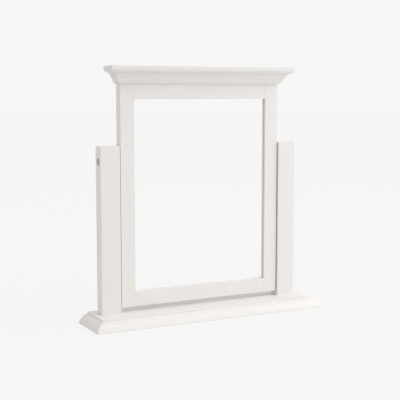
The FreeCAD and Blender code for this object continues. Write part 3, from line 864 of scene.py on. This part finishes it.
def cove_section(wood, height):
    """Section of the coved moulding, as reach from the frame and height above its foot."""
    hollow = arc((wood.cove_reach, height), (wood.cove_foot, wood.strip_height),
                 wood.cove_radius, wood.round_steps)
    return [(0, height), *hollow, (wood.strip_reach, wood.strip_height), (wood.strip_reach, 0),
            (0, 0)]


class SWING_MIRROR_OT_cove(bpy.types.Operator):
    """Coved moulding under the cap, mitred at the front corners"""

    bl_idname = "swing_mirror.cove"
    bl_label = "Coved moulding"

    def execute(self, context):
        wood = context.scene.swing_mirror_woodwork
        low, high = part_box("cornice_front")
        section = cove_section(wood, high.z - low.z)
        face_y = high.y
        half = high.x - wood.cove_reach
        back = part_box("cornice_left_return")[1].y
        runs = [("front", "cornice_front", "x", -1,
                 lambda point: Vector((-point.x, point.y, point.z)))]
        runs += [(side, f"cornice_{side}_return", "y", sign,
                  lambda point: Vector((point.x, back, point.z))) for side, sign in SIDES.items()]
        for name, node, grain, sign, far in runs:
            shape = bmesh.new()
            start = first_face(shape, [(sign * (half + reach), face_y - reach, low.z + rise)
                                       for reach, rise in section])
            draw_out(shape, start, far)
            soften(shape, wood.soft_edge, steps=2)
            add_piece(f"cove_{name}", shape, satin_paint(grain), TILTING, "painted_wood", [node])
        return {"FINISHED"}


# Cosine over which a face of the glass shows the silver behind it.
SILVERED = 0.9


class SWING_MIRROR_OT_looking_glass(bpy.types.Operator):
    """Silvered glass with polished edges, and the paint that protects its back"""

    bl_idname = "swing_mirror.looking_glass"
    bl_label = "Looking glass"

    backing: length("Backing", 0.0003, "Paint over the silver")
    polish: length("Polish", 0.0006, "Rounding of the glass's edges")
    air: length("Air", 0.0005, "Between the wood's lip and the glass")
    seam: length("Seam", 0.00002, "Between the glass and its backing")

    def execute(self, context):
        low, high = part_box("mirror_glass")
        back = high.y - self.backing
        glass = block(low + self.air * Y_AXIS, Vector((high.x, back - self.seam, high.z)))
        soften(glass, self.polish)
        glass.normal_update()
        for face in glass.faces:
            face.material_index = 0 if face.normal.y < -SILVERED else 1
        sheet = add_piece("glass_sheet", glass, silvering(), TILTING, "mirror", ["mirror_glass"])
        sheet.data.materials.append(clear_glass())
        inset = Vector((self.polish, 0, self.polish))
        coat = block(Vector((low.x, back, low.z)) + inset, high - inset)
        soften(coat, self.seam, steps=1)
        add_piece("silver_coat", coat, backing_paint(), TILTING, "mirror", ["mirror_glass"])
        return {"FINISHED"}


# Pins in the back beads: between neighbours, from a bead's end in widths of the bead, across
# the head, through it, its rounding, how deep the pin goes and its facets.
PIN_PITCH = 0.105
PIN_CLEAR = 3
PIN_HEAD = 0.0022
PIN_HEAD_HEIGHT = 0.0006
PIN_ROUND = 0.0001
PIN_DEPTH = 0.004
PIN_FACETS = 16


class SWING_MIRROR_OT_back(bpy.types.Operator):
    """Back panel, the four mitred beads that hold it and their pins"""

    bl_idname = "swing_mirror.back"
    bl_label = "Back panel and beads"

    def execute(self, context):
        wood = context.scene.swing_mirror_woodwork
        low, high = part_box("back_panel")
        panel = block(low, high)
        soften(panel, wood.soft_edge)
        add_piece("back_board", panel, bare_fibreboard(), TILTING, "fibreboard", ["back_panel"])
        pins = bmesh.new()
        boxes = {name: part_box(f"{name}_back_bead") for name in ("bottom", "right", "top", "left")}
        left, right = boxes["left"][0].x, boxes["right"][1].x
        foot, top = boxes["bottom"][0].z, boxes["top"][1].z
        corners = [(left, foot), (right, foot), (right, top), (left, top)]
        for (name, (low, high)), *ends in zip(boxes.items(), corners, corners[1:] + corners[:1]):
            width = min(high.x - low.x, high.z - low.z)
            shape = mitred_bead(ends, (foot + top) / 2, low, high, width, wood)
            grain = "x" if name in ("bottom", "top") else "z"
            add_piece(f"bead_{name}", shape, bare_beech(grain), TILTING, "beech",
                      [f"{name}_back_bead"])
            run_pins(pins, low, high, width)
        add_piece("bead_pins", pins, zinc_plate(), TILTING, "zinc_steel", smooth_over=SQUARE)
        return {"FINISHED"}


def mitred_bead(ends, middle, low, high, width, wood):
    """One bead: a mitred strip whose inner back edge is bevelled.

    ends are its outer corners, and middle is the height of the panel's middle.
    """

    def strip(amount, y):
        inner = [(x + math.copysign(amount, -x), z + math.copysign(amount, middle - z))
                 for x, z in reversed(ends)]
        return [Vector((x, y, z)) for x, z in (*ends, *inner)]

    shape = drawn_through([strip(width, low.y), strip(width, high.y - wood.bead_bevel),
                           strip(width - wood.bead_bevel, high.y)])
    soften(shape, wood.soft_edge)
    return shape


def run_pins(shape, low, high, width):
    """Set small round pin heads along a bead."""
    middle = (low + high) / 2
    middle.y = high.y
    way = X_AXIS if high.x - low.x > high.z - low.z else Z_AXIS
    span = (high - low).dot(way) - 2 * PIN_CLEAR * width
    count = round(span / PIN_PITCH) + 1
    head = PIN_HEAD / 2
    shank = 0.4 * head
    steps = [(shank, -PIN_DEPTH), (shank, -PIN_HEAD_HEIGHT), (head, -PIN_HEAD_HEIGHT),
             (head, -PIN_ROUND), (0.75 * head, 0.0)]
    for index in range(count):
        at = middle + way * span * (index / (count - 1) - 0.5)
        lathe(shape, at, Y_AXIS, steps, PIN_FACETS)


# Pivot bolts: the rounding of the head, in from its side and down from its top, the socket's
# chamfer, the cone under it as a share of its width and a depth, and the thread and its tip.
HEAD_ROUND = ((0.0008, 0), (0.00045, 0.00012), (0.00012, 0.00045), (0, 0.0008))
SOCKET_CHAMFER = 0.0004
SOCKET_CONE = (0.55, 0.0004)
THREAD_START = 0.030
THREAD_PITCH = 0.001
THREAD_DEPTH = 0.0005
TIP_LENGTH = 0.001
TIP_TAPER = 0.0008

# Easing of the edges of the washers and the spacers.
WASHER_EASE = 0.0003
SPACER_EASE = 0.0004

# Threaded inserts: the hexagon socket and its depth, the collar, the thread, and the chamfers.
INSERT_SOCKET = 0.0066
INSERT_SOCKET_DEPTH = 0.004
INSERT_COLLAR = 0.0010
INSERT_THREAD_START = 0.0014
INSERT_PITCH = 0.0020
INSERT_THREAD_DEPTH = 0.0011
INSERT_RIM = 0.0003
INSERT_TAPER = 0.0004


class SWING_MIRROR_OT_pivots(bpy.types.Operator):
    """Pivot bolts with their washers, spacers and threaded inserts"""

    bl_idname = "swing_mirror.pivots"
    bl_label = "Pivots"

    def execute(self, context):
        pivots = context.scene.swing_mirror_pivots
        for side in SIDES:
            self.bolt(side, pivots)
            self.ring(side, "head_washer", WASHER_EASE, pivots, zinc_plate(), TILTING, "zinc_steel")
            self.ring(side, "spacer", SPACER_EASE, pivots, moulded_nylon(), STAND, "nylon")
            self.insert(side, pivots)
        return {"FINISHED"}

    def bolt(self, side, pivots):
        head, inward, _, reach = on_pivot(side, "pivot_bolt")
        wide, narrow = pivots.head / 2, pivots.bolt / 2
        socket = hexagon(pivots.socket)
        cone, cone_depth = SOCKET_CONE
        steps = [
            (lambda angle: cone * socket(angle), pivots.socket_depth + cone_depth),
            (socket, pivots.socket_depth), (socket, SOCKET_CHAMFER),
            (lambda angle: socket(angle) + SOCKET_CHAMFER, 0),
            *[(wide - aside, down) for aside, down in HEAD_ROUND],
            (wide, pivots.head_height), (narrow, pivots.head_height), (narrow, THREAD_START),
            *grooves(THREAD_START, reach - TIP_LENGTH, THREAD_PITCH,
                     ((narrow, 0.1), (narrow - THREAD_DEPTH, 0.5), (narrow, 0.9))),
            (narrow, reach - TIP_LENGTH), (narrow - TIP_TAPER, reach)]
        add_turned(f"pivot_bolt_{side}", [head], inward, steps, pivots.facets, zinc_plate(),
                   TILTING, "zinc_steel", [f"{side}_pivot_bolt"])

    def ring(self, side, node, ease, pivots, *given):
        start, inward, outside, thick = on_pivot(side, node)
        hole = pivots.bolt / 2 + pivots.play
        steps = [(hole, ease), (hole + ease, 0), (outside - ease, 0), (outside, ease),
                 (outside, thick - ease), (outside - ease, thick), (hole + ease, thick),
                 (hole, thick - ease)]
        add_turned(f"{node}_{side}", [start], inward, steps, pivots.facets, *given,
                   [f"{side}_{node}"], hollow=True)

    def insert(self, side, pivots):
        start, inward, outside, long = on_pivot(side, "insert")
        hole = pivots.bolt / 2 + pivots.play
        core = outside - INSERT_THREAD_DEPTH
        socket = hexagon(INSERT_SOCKET)
        steps = [
            (hole, long), (hole, INSERT_SOCKET_DEPTH), (socket, INSERT_SOCKET_DEPTH),
            (socket, 0.0), (outside - INSERT_RIM, 0.0), (outside, INSERT_RIM),
            (outside, INSERT_COLLAR),
            *grooves(INSERT_THREAD_START, long, INSERT_PITCH,
                     ((core, 0.0), (core, 0.2), (outside, 0.4), (core, 0.6))),
            (core, long - INSERT_TAPER), (core - INSERT_TAPER, long)]
        add_turned(f"insert_{side}", [start], inward, steps, pivots.facets, machined_brass(),
                   TILTING, "brass", [f"{side}_insert"], hollow=True)


# The screws' cross-shaped recess, as its arm and its half width, and how it narrows in shares
# of its width and depths; the head's edge, in and down; the thread, its neck and its tip.
RECESS = (0.0024, 0.00055)
RECESS_FLOOR = (0.30, 0.0026)
RECESS_WALL = (0.85, 0.0006)
SCREW_EDGE = (0.0002, 0.0003)
SCREW_PLAIN_PART = 0.45
SCREW_PITCH = 0.0022
SCREW_CORE = 0.72
SCREW_POINT = 0.006
SCREW_NECK = (0.70, 0.001)
SCREW_TIP = 0.08


class SWING_MIRROR_OT_post_screws(bpy.types.Operator):
    """Countersunk wood screws that come up through the base board into the posts"""

    bl_idname = "swing_mirror.post_screws"
    bl_label = "Post screws"

    def execute(self, context):
        pivots = context.scene.swing_mirror_pivots
        low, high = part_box("post_screws")
        long = high.z - low.z
        head, shank = SCREW_HEAD / 2, SCREW_SHANK / 2
        core = shank * SCREW_CORE
        recess = cross(*RECESS)
        aside, down = SCREW_EDGE
        neck, neck_length = SCREW_NECK
        steps = [(lambda angle, part=part: part * recess(angle), depth)
                 for part, depth in (RECESS_FLOOR, RECESS_WALL)]
        steps += [(recess, 0.0), (head - aside, 0.0), (head, down), (shank, head - shank + down),
                  (shank, long * SCREW_PLAIN_PART),
                  *grooves(long * SCREW_PLAIN_PART, long - SCREW_POINT, SCREW_PITCH,
                           ((core, 0.25), (core, 0.75), (shank, 1.0)))]
        steps += [(shank * neck, steps[-1][1] + neck_length), (shank * SCREW_TIP, long)]
        add_turned("wood_screws", screw_places(), Z_AXIS, steps, pivots.facets, zinc_plate(),
                   STAND, "zinc_steel", ["post_screws"])
        return {"FINISHED"}


FLUTES = 18
FLUTE_DEPTH = 0.0004
FLUTE_FACETS = 6


class SWING_MIRROR_OT_dowels(bpy.types.Operator):
    """Fluted beech dowels under the posts and the cap"""

    bl_idname = "swing_mirror.dowels"
    bl_label = "Dowels"

    cap_spacing: length("Cap spacing", 0.150, "Between neighbouring dowels of the cap")
    chamfer: length("Chamfer", 0.001, "Chamfer on a dowel's ends")

    def execute(self, context):
        posts = [sum(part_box(f"{side}_post"), Vector()).x / 2 for side in SIDES]
        self.dowels("post_pegs", "post_dowels", STAND, posts)
        caps = [step * self.cap_spacing for step in (-1, 0, 1)]
        self.dowels("cap_pegs", "cap_dowels", TILTING, caps)
        return {"FINISHED"}

    def dowels(self, name, node, body, places):
        low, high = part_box(node)
        centres = [Vector((x, (low.y + high.y) / 2, low.z)) for x in places]
        radius = (high.y - low.y) / 2
        long = high.z - low.z
        flutes = fluted(radius, FLUTE_DEPTH, FLUTES)
        steps = [(radius - self.chamfer, 0), (flutes, self.chamfer),
                 (flutes, long - self.chamfer), (radius - self.chamfer, long)]
        add_turned(name, centres, Z_AXIS, steps, FLUTES * FLUTE_FACETS, bare_beech("z"), body,
                   "beech", [node], smooth_over=FLUTED)


# -------- studio


FLOOR_SIZE = 60
FLOOR_DROP = 0.0002
SENSOR = 36


def lamp_turn(way):
    """Turn of a lamp that stands in a direction and shines back along it."""
    return Vector(way).to_track_quat("Z", "Y").to_euler()


class SWING_MIRROR_OT_studio(bpy.types.Operator):
    """Pale floor, soft light and the camera"""

    bl_idname = "swing_mirror.studio"
    bl_label = "Studio"

    def execute(self, context):
        look = context.scene.swing_mirror_studio
        self.floor()
        self.sky(context.scene, look)
        self.lamps(look)
        self.camera(context.scene, look)
        context.scene.view_settings.view_transform = "Standard"
        return {"FINISHED"}

    def floor(self):
        shape = bmesh.new()
        bmesh.ops.create_grid(shape, x_segments=1, y_segments=1, size=FLOOR_SIZE / 2)
        bmesh.ops.translate(shape, vec=(0, 0, -FLOOR_DROP), verts=shape.verts)
        floor = into_scene("studio_floor", mesh_of("studio_floor", shape, studio_floor()))

    def sky(self, scene, look):
        scene.world = scene.world or bpy.data.worlds.new("studio")
        scene.world.use_nodes = True
        tree = Tree(scene.world.node_tree)
        light, shown = (tree.add("ShaderNodeBackground", Color=grey(1), Strength=level)
                        for level in (look.sky, look.background))
        mixed = tree.join("ShaderNodeMixShader", light, shown, Fac=tree.direct_view())
        tree.add("ShaderNodeOutputWorld", Surface=mixed.outputs[0])

    def lamps(self, look):
        key = bpy.data.lights.new("key_light", "SUN")
        key.energy = look.key
        key.angle = look.key_softness
        into_scene("key_light", key, turn=lamp_turn(look.key_direction))
        side = bpy.data.lights.new("side_lamp", "AREA")
        side.shape = "RECTANGLE"
        side.size = look.side_lamp_width
        side.size_y = look.side_lamp_height
        side.energy = look.side_lamp
        into_scene("side_lamp", side, look.side_lamp_place,
                   lamp_turn((*look.side_lamp_place[:2], 0)))

    def camera(self, scene, look):
        lens = bpy.data.cameras.new("camera")
        lens.lens = look.lens
        lens.sensor_width = SENSOR
        lens.sensor_fit = "HORIZONTAL"
        scene.camera = into_scene("camera", lens, look.camera_place,
                                  (math.pi / 2 - look.camera_dip, 0, -look.camera_turn))


# -------- add-on


STEPS = (
    SWING_MIRROR_OT_base_board,
    SWING_MIRROR_OT_posts,
    SWING_MIRROR_OT_frame_members,
    SWING_MIRROR_OT_cap,
    SWING_MIRROR_OT_cove,
    SWING_MIRROR_OT_looking_glass,
    SWING_MIRROR_OT_back,
    SWING_MIRROR_OT_pivots,
    SWING_MIRROR_OT_post_screws,
    SWING_MIRROR_OT_dowels,
    SWING_MIRROR_OT_studio,
)


class SWING_MIRROR_PT_panel(bpy.types.Panel):
    """Steps of the swing mirror, and the sizes and colours that they use"""

    bl_idname = "SWING_MIRROR_PT_panel"
    bl_label = "Swing Mirror"
    bl_space_type = "VIEW_3D"
    bl_region_type = "UI"
    bl_category = "Swing Mirror"

    def draw(self, context):
        for step in STEPS:
            self.layout.operator(step.bl_idname)
        for name, group in SETTINGS.items():
            box = self.layout.box()
            box.label(text=group.__doc__)
            for setting in group.__annotations__:
                box.prop(getattr(context.scene, name), setting)


def register():
    for group in SETTINGS.values():
        bpy.utils.register_class(group)
    for name, group in SETTINGS.items():
        setattr(bpy.types.Scene, name, PointerProperty(type=group))
    for step in (*STEPS, SWING_MIRROR_PT_panel):
        bpy.utils.register_class(step)


def unregister():
    for step in reversed((*STEPS, SWING_MIRROR_PT_panel)):
        bpy.utils.unregister_class(step)
    for name in SETTINGS:
        delattr(bpy.types.Scene, name)
    for group in SETTINGS.values():
        bpy.utils.unregister_class(group)


def main():
    register()
    for step in STEPS:
        category, name = step.bl_idname.split(".")
        getattr(getattr(bpy.ops, category), name)()


if __name__ == "__main__":
    main()
